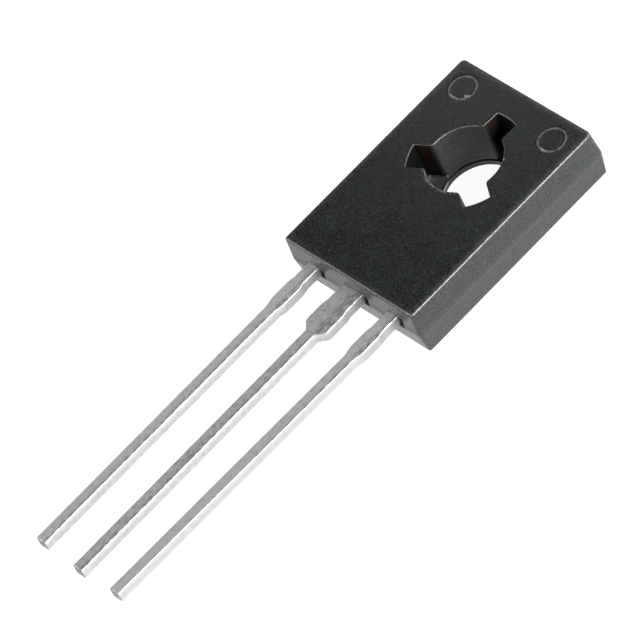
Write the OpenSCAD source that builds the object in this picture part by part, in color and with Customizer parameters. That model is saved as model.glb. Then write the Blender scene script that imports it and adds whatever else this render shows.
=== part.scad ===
// Flat moulded power transistor with three leads and one mounting hole.
// Millimetres. The hole's axis is the Z axis, and z = 0 is the mounting plane
// at the back. +Z points out of the front face, +Y away from the leads.

/* [Moulded body] */
// Width of the front face, across the leads
face_width = 7.4; // [7.2:0.05:8]
// Length of the front face, along the leads
face_length = 10.42; // [10.3:0.02:11]
// Thickness from the mounting plane to the front face
body_thickness = 2.4; // [2.3:0.05:2.8]
// Draft of all walls in front of the parting line, in degrees
front_draft = 4; // [2:0.5:6]
// Draft of the long walls behind the parting line, in degrees
side_back_draft = 6; // [2:0.5:8]
// Draft of the end walls behind the parting line, in degrees
end_back_draft = 8; // [2:0.5:10]
// Radius of the four corners of the front face
corner_radius = 0.15; // [0.1:0.05:0.5]
// Bevel round the edge of the front face
face_bevel = 0.05; // [0.02:0.01:0.1]

/* [Keyed hole] */
// Distance from the hole's axis to the top edge of the front face
hole_to_top = 3.67; // [3.5:0.01:3.9]
// Diameter of the hole through the plastic, at the front face
keyed_hole_diameter = 3.26; // [3.22:0.02:3.5]
// Taper of that hole towards its seat in the tab, in degrees
hole_draft = 0.5; // [0.1:0.1:1]
// Number of keyways left by the clamping prongs of the mould
keyway_count = 3; // [2:1:4]
// Width of one keyway
keyway_width = 1.12; // [0.8:0.02:1.2]
// Distance from the hole's axis to the closed end of a keyway
keyway_reach = 2.42; // [2.2:0.02:2.5]
// Angle by which the keyways are turned from the long axis, in degrees
keyway_turn = -3; // [-10:1:10]
// Radius of the plastic corners at a keyway's mouth
keyway_mouth_radius = 0.2; // [0.05:0.05:0.2]

/* [Ejector pin marks] */
// Outer diameter of the ring that an ejector pin leaves
pin_mark_diameter = 1.26; // [1:0.02:1.5]
// Width of that ring
pin_mark_ring = 0.1; // [0.06:0.02:0.2]
// Depth of that ring
pin_mark_depth = 0.04; // [0.02:0.01:0.1]
// Distance from the top edge of the front face to the marks' centres
pin_mark_from_top = 1.1; // [0.9:0.02:1.2]
// Distance from the left edge of the front face to the left mark's centre
left_mark_inset = 1.09; // [1:0.01:1.3]
// Distance from the right edge of the front face to the right mark's centre
right_mark_inset = 1.2; // [1:0.01:1.3]

/* [Lead strip] */
// Thickness of the copper strip that the tab and leads are stamped from
strip_thickness = 0.45; // [0.4:0.01:0.5]
// Thickness of the solder coat on the leads outside the body
coat_thickness = 0.03; // [0.01:0.005:0.05]
// Distance from one lead's centre line to the next
lead_pitch = 2.29; // [2.2:0.01:2.4]
// Height of the leads' bare back surface above the mounting plane
lead_height = 1.18; // [1.05:0.01:1.3]

/* [Leads outside the body] */
// Length of a lead from the body to its tip
lead_length = 15.6; // [10:0.1:16.6]
// Width of a coated lead
lead_width = 0.52; // [0.46:0.01:0.6]
// Extra length of the middle lead
middle_extra_length = 0.1; // [0:0.01:0.2]
// Extra length of the right lead
right_extra_length = 0.05; // [0:0.01:0.2]
// Sideways set of the right lead at its tip, towards the middle lead
right_tip_set = 0.18; // [0:0.01:0.3]
// Width of the outer leads where they leave the body
outer_neck_width = 0.57; // [0.52:0.01:0.64]
// Width of the middle lead where it leaves the body
middle_neck_width = 1.1; // [0.9:0.01:1.16]
// How far the trimmed tie bar stands out at each side of a neck
tie_bar_stump = 0.065; // [0.02:0.005:0.1]
// Distance from the body to the start of the trimmed tie bar
tie_bar_start = 0.8; // [0.6:0.05:1]
// Distance from the body to the end of the trimmed tie bar
tie_bar_end = 2; // [1.6:0.05:2.2]
// Length of the ramp up to the full stump
stump_ramp = 0.3; // [0.1:0.05:0.5]
// Length over which the stump narrows to the lead's width
shoulder_length = 0.45; // [0.2:0.05:0.8]

/* [Lead pockets in the body] */
// Gap between a neck and the side wall of its pocket
pocket_side_gap = 0.3; // [0.1:0.01:0.4]
// Gap between a neck's front and the pocket's front wall
pocket_front_gap = 0.05; // [0.01:0.01:0.1]
// Depth of a pocket below the parting line
pocket_depth = 0.28; // [0.1:0.02:0.4]

/* [Collector tab] */
// Diameter of the screw hole in the metal tab
screw_hole_diameter = 3.12; // [3:0.01:3.2]
// Rounding at the front rim of the screw hole, as the punch leaves it
hole_roll = 0.03; // [0.01:0.01:0.05]
// Depth of the seat that the mould's core pin presses into the tab
seat_depth = 0.17; // [0.05:0.01:0.2]
// Width of the tab's bare face on the mounting plane
tab_width = 5; // [4.8:0.05:5.6]
// Distance from the hole's axis to the tab's top edge
tab_top = 2.6; // [2.4:0.05:2.8]
// Distance from the tab's bottom edge to the lead end of the body
tab_to_lead_end = 2.22; // [2.1:0.02:2.4]
// Radius of the tab's corners
tab_corner_radius = 0.5; // [0.2:0.05:0.8]
// How far the locking lip stands out over the tab's bare face
lip_reach = 0.22; // [0.1:0.02:0.3]
// Thickness of the locking lip
lip_thickness = 0.2; // [0.1:0.02:0.3]
// Length over which the middle lead steps up from the tab
step_run = 0.9; // [0.8:0.05:1.1]

/* [Bond posts] */
// Width of the post at the inner end of an outer lead
post_width = 2; // [1.6:0.05:2.2]
// Length of that post
post_length = 1.1; // [0.9:0.05:1.2]
// Plastic between the post and the lead end of the body
post_cover = 0.58; // [0.4:0.02:0.7]
// Gap from the middle lead to a post
post_gap = 0.45; // [0.35:0.01:0.6]
// Radius of the bites that lock a post into the plastic
lock_bite_radius = 0.18; // [0.1:0.02:0.25]

/* [Silicon die] */
// Side of the square die
die_side = 2; // [1.6:0.05:2.1]
// Thickness of the die
die_thickness = 0.25; // [0.15:0.01:0.3]
// Gap from the solder under the die to the tab's bend
die_to_bend = 0.09; // [0.05:0.01:0.2]
// Thickness of the solder under the die
solder_thickness = 0.05; // [0.02:0.01:0.08]
// How far the solder spreads past the die
solder_margin = 0.06; // [0.02:0.01:0.1]

/* [Bond wires] */
// Diameter of the emitter wire
emitter_wire_diameter = 0.25; // [0.15:0.01:0.3]
// Diameter of the base wire
base_wire_diameter = 0.2; // [0.12:0.01:0.3]
// Sideways distance from the die's centre to the emitter bond
emitter_bond_x = 0.4; // [0.2:0.02:0.6]
// Sideways distance from the die's centre to the base bond
base_bond_x = 0.55; // [0.3:0.02:0.7]
// Distance from the die's centre down to both bonds
bond_drop = 0.4; // [0.2:0.02:0.6]
// Height of a wire's arch over the straight line between its bonds
arch_height = 0.65; // [0.5:0.05:0.7]
// Length of the flattened foot at each end of a wire
foot_length = 0.5; // [0.4:0.02:0.6]
// Thickness of that foot
foot_thickness = 0.08; // [0.04:0.01:0.12]
// How much wider a foot is than its wire, where the tool pressed it
foot_spread = 0.08; // [0.02:0.01:0.15]

/* [Hidden] */
$fn = 72;
// Past this length a cutting shape stands clear of what it cuts.
over = 1;

// The mould parts at the back surface of the lead strip.
parting_height = lead_height;
front_run = (body_thickness - parting_height) * tan(front_draft);
side_back_run = parting_height * tan(side_back_draft);
end_back_run = parting_height * tan(end_back_draft);

face_top = hole_to_top;
face_bottom = hole_to_top - face_length;
face_middle = (face_top + face_bottom) / 2;
body_bottom = face_bottom - front_run;
keyed_hole_radius = keyed_hole_diameter / 2;
screw_hole_radius = screw_hole_diameter / 2;

coated_back = lead_height - coat_thickness;
coated_thickness = strip_thickness + 2 * coat_thickness;
strip_front = lead_height + strip_thickness;
seat_height = strip_thickness - seat_depth;
seat_radius = keyed_hole_radius - (body_thickness - seat_height) * tan(hole_draft);
// Circle that the corners of a keyway's mouth touch. It is a little inside
// the hole, so that the corners and the tapered wall always cross.
mouth_radius = seat_radius - 0.005;
pocket_floor = body_bottom + pocket_depth;
tab_bottom = body_bottom + tab_to_lead_end;
post_bottom = body_bottom + post_cover;
post_front = strip_front;
post_inner = middle_neck_width / 2 + post_gap;
post_middle = post_inner + post_width / 2;

// The slope of the stepped strip, and how far its bends shift from its back
// surface to its front one.
step_slope = atan(lead_height / step_run);
bend_shift = strip_thickness * tan(step_slope / 2);

die_bottom = strip_thickness + solder_thickness;
die_top = die_bottom + die_thickness;
die_y = tab_bottom + bend_shift + die_to_bend + solder_margin + die_side / 2;
bond_y = die_y - bond_drop;
post_bond_y = post_bottom + post_length / 2;

// ---------- outlines ----------

module rounded_rectangle(x0, y0, x1, y1, r) {
    translate([x0 + r, y0]) square([x1 - x0 - 2 * r, y1 - y0]);
    translate([x0, y0 + r]) square([x1 - x0, y1 - y0 - 2 * r]);
    for (x = [x0 + r, x1 - r], y = [y0 + r, y1 - r])
        translate([x, y]) circle(r);
}

// Section across a pair of drafted walls: half is the front face's half
// size, run the way back that the rear draft takes.
module drafted_section(half, run) {
    widest = half + front_run;
    right = [
        [widest - run, 0],
        [widest, parting_height],
        [half + face_bevel * tan(front_draft), body_thickness - face_bevel],
        [half - face_bevel, body_thickness]
    ];
    left = [for (i = [3:-1:0]) [-right[i][0], right[i][1]]];
    polygon(concat(right, left));
}

// Distance from the middle of the front face to a line that touches its
// outline square to the given angle: a rectangle with round corners.
function front_reach(angle) =
    (face_width / 2 - corner_radius) * cos(angle)
    + (face_length / 2 - corner_radius) * sin(angle) + corner_radius;

// One keyway, from the hole's axis out along +X, with its mouth's corners
// rounded by circles that touch the hole's narrow end and the keyway's side.
module keyway() {
    half = keyway_width / 2;
    r = keyway_mouth_radius;
    corner_x = sqrt(pow(mouth_radius, 2) - pow(half, 2));
    centre_x = sqrt(pow(mouth_radius + r, 2) - pow(half + r, 2));
    touch = mouth_radius / (mouth_radius + r);
    intersection() {
        circle(keyway_reach);
        translate([0, -half]) square([keyway_reach + over, keyway_width]);
    }
    for (side = [0, 1]) mirror([0, side]) difference() {
        polygon([
            [corner_x - r / 2, half - r / 2],
            [centre_x, half - r / 2],
            [centre_x, half + r],
            [centre_x * touch, (half + r) * touch]
        ]);
        translate([centre_x, half + r]) circle(r);
    }
}

module keyways() {
    for (i = [0:keyway_count - 1])
        rotate(90 + keyway_turn + i * 360 / keyway_count) keyway();
}

// ---------- lead pieces ----------

// Outline of one lead outside the body, centred on x = 0 and running down
// from the pocket floor. The width eases from stump to lead on a cosine.
module outer_lead_outline(neck, extra, set) {
    half_neck = neck / 2;
    half_stump = half_neck + tie_bar_stump;
    half_lead = lead_width / 2;
    shoulder_end = tie_bar_end + shoulder_length;
    tip = lead_length + extra;
    steps = 8;
    edge = concat(
        [[half_neck, -pocket_depth],
         [half_neck, tie_bar_start],
         [half_stump, tie_bar_start + stump_ramp],
         [half_stump, tie_bar_end]],
        [for (i = [1:steps])
            [half_lead + (half_stump - half_lead) * (1 + cos(180 * i / steps)) / 2,
             tie_bar_end + shoulder_length * i / steps]]
    );
    function lean(d) = set * (d - shoulder_end) / (tip - shoulder_end);
    right = [for (p = edge) [p[0], body_bottom - p[1]]];
    tips = [[half_lead - set, body_bottom - tip], [-half_lead - set, body_bottom - tip]];
    left = [for (i = [len(edge) - 1:-1:0]) [-edge[i][0], body_bottom - edge[i][1]]];
    polygon(concat(right, tips, left));
}

module coated_lead(x, neck, extra = 0, set = 0) {
    translate([x, 0, coated_back])
        linear_extrude(coated_thickness) outer_lead_outline(neck, extra, set);
}

// Bare strip inside the body: a neck up to a wide post with a bite in its
// outer side. side is -1 for the left post and 1 for the right one.
module bare_post(side) {
    bare_neck = outer_neck_width - 2 * coat_thickness;
    translate([0, 0, lead_height]) linear_extrude(strip_thickness) {
        translate([side * lead_pitch - bare_neck / 2, pocket_floor])
            square([bare_neck, post_cover - pocket_depth + post_length / 2]);
        difference() {
            translate([side * post_middle - post_width / 2, post_bottom])
                square([post_width, post_length]);
            translate([side * (post_inner + post_width), post_bond_y])
                circle(lock_bite_radius);
        }
    }
}

// Room that the mould leaves round the neck of a lead.
module lead_pocket(x, neck) {
    width = neck + 2 * pocket_side_gap;
    translate([x - width / 2, body_bottom - over, coated_back])
        cube([width, pocket_depth + over, coated_thickness + pocket_front_gap]);
}

// ---------- collector frame ----------

module tab_plate() {
    half = tab_width / 2;
    linear_extrude(strip_thickness)
        rounded_rectangle(-half, tab_bottom, half, tab_top, tab_corner_radius);
    translate([0, 0, strip_thickness - lip_thickness])
        linear_extrude(lip_thickness)
            rounded_rectangle(-half - lip_reach, tab_bottom - lip_reach,
                              half + lip_reach, tab_top + lip_reach,
                              tab_corner_radius + lip_reach);
}

// The strip leaves the tab, climbs to the height of the leads and runs on
// to the pocket. Its thickness stays the same on the slope.
module stepped_strip() {
    width = middle_neck_width - 2 * coat_thickness;
    root = tab_bottom + strip_thickness;
    end = tab_bottom - step_run;
    rotate([90, 0, 90]) translate([0, 0, -width / 2]) linear_extrude(width)
        polygon([
            [root, 0],
            [tab_bottom, 0],
            [end, lead_height],
            [pocket_floor, lead_height],
            [pocket_floor, strip_front],
            [end + bend_shift, strip_front],
            [tab_bottom + bend_shift, strip_thickness],
            [root, strip_thickness]
        ]);
}

module screw_hole() {
    translate([0, 0, -over]) cylinder(h = body_thickness + over, r = screw_hole_radius);
    roll_cut = 1.5 * hole_roll;
    translate([0, 0, seat_height - hole_roll])
        cylinder(h = roll_cut, r1 = screw_hole_radius, r2 = screw_hole_radius + roll_cut);
}

// All that the mould's tapered core keeps clear of plastic, down to its seat.
module core_room() {
    translate([0, 0, seat_height]) {
        cylinder(h = body_thickness, r1 = seat_radius,
                 r2 = seat_radius + body_thickness * tan(hole_draft));
        linear_extrude(body_thickness) keyways();
    }
}

module collector_frame_shape() {
    difference() {
        union() {
            tab_plate();
            stepped_strip();
        }
        screw_hole();
        core_room();
    }
    coated_lead(0, middle_neck_width, middle_extra_length);
}

module emitter_lead_shape() {
    bare_post(-1);
    coated_lead(-lead_pitch, outer_neck_width);
}

module base_lead_shape() {
    bare_post(1);
    coated_lead(lead_pitch, outer_neck_width, right_extra_length, right_tip_set);
}

// ---------- die and wires ----------

module square_plate(side, bottom, thickness) {
    translate([-side / 2, die_y - side / 2, bottom])
        cube([side, side, thickness]);
}

module die_shape() {
    square_plate(die_side, die_bottom, die_thickness);
}

module solder_shape() {
    square_plate(die_side + 2 * solder_margin, strip_thickness, solder_thickness);
}

module wire_foot(length, width) {
    straight = length - width;
    linear_extrude(foot_thickness) {
        translate([-straight / 2, -width / 2]) square([straight, width]);
        for (end = [-straight / 2, straight / 2]) translate([end, 0]) circle(width / 2);
    }
}

// A round wire from a bond on the die to a bond on a post. It follows one
// arc in the upright plane through both bonds, cut level at both pads.
module bond_wire(from_x, to_x, diameter) {
    dx = to_x - from_x;
    dy = post_bond_y - bond_y;
    span = norm([dx, dy]);
    rise = post_front - die_top;
    chord = norm([span, rise]);
    tilt = atan2(rise, span);
    radius = (pow(chord / 2, 2) + pow(arch_height, 2)) / (2 * arch_height);
    depth = radius - arch_height;
    centre = [span / 2 + depth * sin(tilt), rise / 2 - depth * cos(tilt)];
    spare = 10;
    first = atan2(rise - centre[1], span - centre[0]) - spare;
    last = atan2(-centre[1], -centre[0]) + spare;
    translate([from_x, bond_y, die_top]) rotate(atan2(dy, dx)) {
        difference() {
            translate([centre[0], 0, centre[1]]) rotate([90, 0, 0]) rotate(first)
                rotate_extrude(angle = last - first)
                    translate([radius, 0]) circle(diameter / 2);
            translate([-over, -over, -2 * over])
                cube([span / 2 + over, 2 * over, 2 * over]);
            translate([span / 2, -over, rise - 2 * over])
                cube([span / 2 + over, 2 * over, 2 * over]);
        }
        wire_foot(foot_length, diameter + foot_spread);
        translate([span, 0, rise]) wire_foot(foot_length, diameter + foot_spread);
    }
}

module emitter_wire_shape() {
    bond_wire(-emitter_bond_x, -post_middle, emitter_wire_diameter);
}

module base_wire_shape() {
    bond_wire(base_bond_x, post_middle, base_wire_diameter);
}

// ---------- moulded body ----------

// The part shared by drafted slabs that lie across one another: one for the
// long walls, one for the end walls, and one for each pair of the flats that
// round the corners. The rear draft of a flat lies between the walls'.
module body_block() {
    flats = 5;
    length = face_width + face_length;
    corner_angles = [for (i = [1:flats], side = [-1, 1]) side * 90 * i / (flats + 1)];
    translate([0, face_middle, 0])
        intersection_for(angle = concat([0, 90], corner_angles))
            rotate(angle) translate([0, length / 2, 0]) rotate([90, 0, 0])
                linear_extrude(length)
                    drafted_section(front_reach(abs(angle)),
                                    side_back_run * pow(cos(angle), 2)
                                    + end_back_run * pow(sin(angle), 2));
}

module pin_mark(x) {
    middle = (pin_mark_diameter - pin_mark_ring) / 2;
    translate([x, face_top - pin_mark_from_top, body_thickness])
        rotate_extrude() polygon([
            [middle - pin_mark_ring, pin_mark_depth],
            [middle + pin_mark_ring, pin_mark_depth],
            [middle, -pin_mark_depth]
        ]);
}

module moulded_body_shape() {
    difference() {
        body_block();
        core_room();
        pin_mark(left_mark_inset - face_width / 2);
        pin_mark(face_width / 2 - right_mark_inset);
        lead_pocket(0, middle_neck_width);
        for (side = [-1, 1]) lead_pocket(side * lead_pitch, outer_neck_width);
        screw_hole();
        collector_frame_shape();
        emitter_lead_shape();
        base_lead_shape();
        die_shape();
        solder_shape();
        emitter_wire_shape();
        base_wire_shape();
    }
}

// ---------- nodes ----------

module moulded_body() { color([0.17, 0.185, 0.18]) moulded_body_shape(); }
module collector_frame() { color([0.68, 0.68, 0.67]) collector_frame_shape(); }
module emitter_lead() { color([0.7, 0.7, 0.69]) emitter_lead_shape(); }
module base_lead() { color([0.7, 0.7, 0.69]) base_lead_shape(); }
module transistor_die() { color([0.3, 0.32, 0.38]) die_shape(); }
module die_solder() { color([0.55, 0.55, 0.56]) solder_shape(); }
module emitter_wire() { color([0.83, 0.83, 0.84]) emitter_wire_shape(); }
module base_wire() { color([0.83, 0.83, 0.84]) base_wire_shape(); }

moulded_body();
collector_frame();
emitter_lead();
base_lead();
transistor_die();
die_solder();
emitter_wire();
base_wire();
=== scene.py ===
"""Looks of a flat moulded power transistor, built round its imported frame.

Metres in Blender, millimetres in every value and in every surface function
below. +Z points out of the front face, +Y away from the leads, and the axis
of the mounting hole is the Z axis.
"""

import math

import bpy
import numpy as np
from mathutils import Matrix


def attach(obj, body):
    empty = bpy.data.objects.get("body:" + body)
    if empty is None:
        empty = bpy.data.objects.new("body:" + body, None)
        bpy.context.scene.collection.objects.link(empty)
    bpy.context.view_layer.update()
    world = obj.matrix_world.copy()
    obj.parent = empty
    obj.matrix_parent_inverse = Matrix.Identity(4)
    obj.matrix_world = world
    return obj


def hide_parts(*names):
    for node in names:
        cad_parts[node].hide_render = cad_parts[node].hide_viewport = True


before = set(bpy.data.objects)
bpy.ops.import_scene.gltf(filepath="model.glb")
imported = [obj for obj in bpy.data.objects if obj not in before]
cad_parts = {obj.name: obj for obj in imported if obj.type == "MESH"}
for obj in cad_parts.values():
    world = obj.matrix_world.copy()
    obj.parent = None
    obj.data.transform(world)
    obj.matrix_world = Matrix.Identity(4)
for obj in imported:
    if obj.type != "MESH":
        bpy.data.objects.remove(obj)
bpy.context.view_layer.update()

MM = 0.001

# ---------- sizes of the part, in millimetres ----------

FACE_WIDTH, FACE_LENGTH, BODY_THICKNESS = 7.4, 10.42, 2.4
HOLE_TO_TOP = 3.67
FRONT_DRAFT, SIDE_BACK_DRAFT, END_BACK_DRAFT = 4, 6, 8
CORNER_RADIUS = 0.15
CORNER_WEAR = {(1, 1): 0.14, (-1, 1): 0.05, (-1, -1): -0.07, (1, -1): 0.0}
# Painted highlight on the rounded front edges: its share on the strip inside each edge, and
# that strip's width.
EDGE_HIGHLIGHT_SPREAD, HIGHLIGHT_STRIP_WIDTH = 0.35, 0.3
# Shares of the painted edge highlight on each side, and on the hole's rim.
SIDE_HIGHLIGHT, RIM_HIGHLIGHT = (1.0, 0.8, 0.6, 0.35), 0.9  # right, upper, left, lead end

KEYED_HOLE_RADIUS, HOLE_DRAFT = 1.63, 0.5
KEYWAY_ANGLES = (87, 207, 327)
KEYWAY_HALF_WIDTH, KEYWAY_REACH, KEYWAY_MOUTH_RADIUS = 0.56, 2.42, 0.2

PIN_MARK_RADIUS, PIN_MARK_RING, PIN_MARK_DEPTH = 0.58, 0.1, 0.04
PIN_MARKS = ((-2.61, 2.57), (2.5, 2.57))

STRIP_THICKNESS, COAT = 0.45, 0.03
LEAD_PITCH, LEAD_HEIGHT = 2.29, 1.18
LEAD_LENGTH, LEAD_WIDTH = 15.6, 0.52
OUTER_NECK, MIDDLE_NECK = 0.57, 1.1
TIE_BAR_STUMP, TIE_BAR_START, TIE_BAR_END = 0.065, 0.8, 2.0
STUMP_RAMP, SHOULDER_LENGTH = 0.3, 0.45
MIDDLE_EXTRA, RIGHT_EXTRA, RIGHT_TIP_SET = 0.1, 0.05, 0.18
TIP_LOSS, TIP_ROUNDING = 0.12, 0.03
LONG_LUMPS, SMALL_LUMPS = (0.0014, 0.9), (0.0006, 0.16)  # height, size

POCKET_LEFT_GAP, POCKET_RIGHT_GAP = 0.02, 0.29
POCKET_FRONT_GAP, POCKET_DEPTH = 0.01, 0.28

SCREW_HOLE_RADIUS, HOLE_ROLL, SEAT_HEIGHT = 1.56, 0.03, 0.28
TAB_WIDTH, TAB_TOP, TAB_TO_LEAD_END, TAB_CORNER = 5.0, 2.6, 2.22, 0.5
LIP_REACH, LIP_THICKNESS, STEP_RUN = 0.22, 0.2, 0.9

POST_WIDTH, POST_LENGTH, POST_COVER = 2.0, 1.1, 0.58
POST_GAP, LOCK_BITE = 0.45, 0.18

FRONT_RUN = (BODY_THICKNESS - LEAD_HEIGHT) * math.tan(math.radians(FRONT_DRAFT))
HALF_X = FACE_WIDTH / 2 + FRONT_RUN
HALF_Y = FACE_LENGTH / 2 + FRONT_RUN
MIDDLE_Y = HOLE_TO_TOP - FACE_LENGTH / 2
BODY_BOTTOM = MIDDLE_Y - HALF_Y
POCKET_FLOOR = BODY_BOTTOM + POCKET_DEPTH
COATED_BACK = LEAD_HEIGHT - COAT
COATED_FRONT = LEAD_HEIGHT + STRIP_THICKNESS + COAT
TAB_BOTTOM = BODY_BOTTOM + TAB_TO_LEAD_END
NECKS = ((-LEAD_PITCH, OUTER_NECK), (0, MIDDLE_NECK), (LEAD_PITCH, OUTER_NECK))

# ---------- places and scales of the finishes, in millimetres ----------

CHIPS = ((-2.2, 2.32, 0.08), (-2.09, 2.39, 0.07), (1.42, 0.82, 0.09))  # x, y, reach
SEAM_HEIGHT, SEAM_REACH = LEAD_HEIGHT - 0.03, 0.35
FRONT_START, FRONT_FULL = BODY_THICKNESS - 0.1, BODY_THICKNESS - 0.06
FOOT_TOWARDS = (-0.848, -0.53)
# The middle number is the share of the painted highlight on the rounded edges.
EPOXY_GRAIN, EDGE_HIGHLIGHT, EPOXY_IOR = 13000.0, 0.7, 1.7

# The second tone is the painted highlight of the band at the parting line.
SPECK_TONE, SEAM_HIGHLIGHT_TONE = (0.10, 0.105, 0.10), (0.06, 0.063, 0.062)
# Both tones are partly painted highlight, on the pin mark rings and on the flakes of the
# hole's lower rim.
RING_TONE, FLAKE_AND_GLINT_TONE = (0.22, 0.225, 0.215), (0.17, 0.175, 0.165)
# The second tone is the painted highlight on the rounded edges.
CHIP_TONE, EDGE_HIGHLIGHT_TONE = (0.33, 0.335, 0.32), (0.30, 0.31, 0.30)
# The first tone is a painted highlight on the hole's foot, the second is painted shade in
# the lead pockets.
FOOT_HIGHLIGHT_TONE, POCKET_SHADE = (0.40, 0.41, 0.39), (0.001, 0.001, 0.001)
PALE_TIN, COPPER_TONE = (0.97, 0.97, 0.97), (0.22, 0.205, 0.165)

# ---------- floor ----------

FLOOR_HEIGHT, FLOOR_GLOW, FLOOR_SHADOW, FLOOR_WHITE = -0.02, 0.93, 0.35, 0.8

# ---------- surfaces ----------


def tube_mesh(name, rings, closed=False, filled=(True, True), edges=None):
    """A mesh from rings of points, shaped (rings, points, 3), in millimetres.

    Each ring closes on itself, and each is joined to the next by a band of
    quads. The last ring is joined to the first if closed is true, and
    otherwise filled says whether the first and the last ring are filled.
    Rings turn so that faces point outwards. If edges is given, it holds one
    number per point, kept as the attribute "edge" for the material.
    """
    count, around = rings.shape[:2]
    index = np.arange(count * around).reshape(count, around)
    here = index if closed else index[:-1]
    there = np.roll(index, -1, axis=0) if closed else index[1:]
    quads = np.stack(
        [here, np.roll(here, -1, axis=1), np.roll(there, -1, axis=1), there], axis=-1
    ).reshape(-1, 4)
    faces = quads.tolist()
    if not closed and filled[0]:
        faces.append(index[0, ::-1].tolist())
    if not closed and filled[1]:
        faces.append(index[-1].tolist())
    mesh = bpy.data.meshes.new(name)
    mesh.from_pydata((rings.reshape(-1, 3) * MM).tolist(), [], faces)
    mesh.polygons.foreach_set("use_smooth", np.ones(len(faces), bool))
    if edges is not None:
        layer = mesh.attributes.new("edge", "FLOAT", "POINT")
        layer.data.foreach_set("value", np.ascontiguousarray(edges, "f").ravel())
    mesh.update()
    piece = bpy.data.objects.new(name, mesh)
    bpy.context.scene.collection.objects.link(piece)
    return piece


def level_ring(outline, height):
    """Points of a plane outline (points, 2) set at one height."""
    return np.column_stack([outline, np.full(len(outline), height)])


def ray_to_rounded_rectangle(angles, x0, y0, x1, y1, radius):
    """Where rays from the origin leave a rectangle with round corners.

    The nearest of the four sides along the ray, unless that point lies past
    the start of a corner: then the far crossing with the corner's circle.
    The radius is one number, or one for each ray.
    """
    ux, uy = np.cos(angles), np.sin(angles)
    tiny = 1e-9
    along_x = np.where(ux > 0, x1, x0) / np.where(np.abs(ux) < tiny, tiny, ux)
    along_y = np.where(uy > 0, y1, y0) / np.where(np.abs(uy) < tiny, tiny, uy)
    reach = np.minimum(np.abs(along_x), np.abs(along_y))
    points = reach[:, None] * np.column_stack([ux, uy])
    centre_x = np.where(ux > 0, x1 - radius, x0 + radius)
    centre_y = np.where(uy > 0, y1 - radius, y0 + radius)
    in_corner = (np.sign(ux) * (points[:, 0] - centre_x) > 0) & (
        np.sign(uy) * (points[:, 1] - centre_y) > 0
    )
    forward = centre_x * ux + centre_y * uy
    root = forward**2 - centre_x**2 - centre_y**2 + radius**2
    far = forward + np.sqrt(np.maximum(root, 0))
    reach = np.where(in_corner, far, reach)
    return reach[:, None] * np.column_stack([ux, uy])


def keyed_hole_reach(angles):
    """Distance from the axis to the wall of the keyed hole at each angle.

    Within a keyway it is the closed end or the side, half width over the
    sine of the angle from the keyway's axis, whichever is nearer. Between
    the side and the hole's circle it is the near crossing with the circle
    that rounds the mouth. Elsewhere it is the hole's own radius.
    """
    half, mouth, hole = KEYWAY_HALF_WIDTH, KEYWAY_MOUTH_RADIUS, KEYED_HOLE_RADIUS
    axes = np.radians(KEYWAY_ANGLES)
    turned = (angles[:, None] - axes + math.pi) % (2 * math.pi) - math.pi
    away = np.abs(turned).min(axis=1)
    side = half / np.maximum(np.sin(away), 1e-6)
    ease = 0.05
    blend = np.clip(0.5 + (side - KEYWAY_REACH) / (2 * ease), 0, 1)
    keyway = side * (1 - blend) + KEYWAY_REACH * blend - ease * blend * (1 - blend)
    centre_x = math.sqrt((hole + mouth) ** 2 - (half + mouth) ** 2)
    mouth_start = math.atan2(half, centre_x)
    mouth_end = math.atan2(half + mouth, centre_x)
    forward = centre_x * np.cos(away) + (half + mouth) * np.sin(away)
    near = forward - np.sqrt(np.maximum(forward**2 - (hole + mouth) ** 2 + mouth**2, 0))
    reach = np.where(away < mouth_start, keyway, near)
    return np.where(away > mouth_end, hole, reach)


def smooth_step(x, low, high):
    """0 below low, 1 above high, and an even cubic between them."""
    t = np.clip((x - low) / (high - low), 0, 1)
    return t * t * (3 - 2 * t)


def lumps(points, size, seed, waves=24):
    """A smooth random height at each point, about -1 to 1.

    The sum of plane waves with random directions and phases, whose lengths
    lie round size, divided by the square root of half their number.
    """
    draw = np.random.RandomState(seed)
    directions = draw.normal(size=(waves, 3))
    directions /= np.linalg.norm(directions, axis=1)[:, None]
    lengths = size * draw.uniform(0.6, 1.8, waves)
    phases = draw.uniform(0, 2 * math.pi, waves)
    turns = points @ (directions * (2 * math.pi / lengths[:, None])).T + phases
    return np.sin(turns).sum(axis=-1) / math.sqrt(waves / 2)


def quarter_turn(steps):
    """Cosines and sines of a quarter turn, as two arrays."""
    a = np.linspace(0, math.pi / 2, steps)
    return np.cos(a), np.sin(a)


# ---------- moulded body ----------


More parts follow.
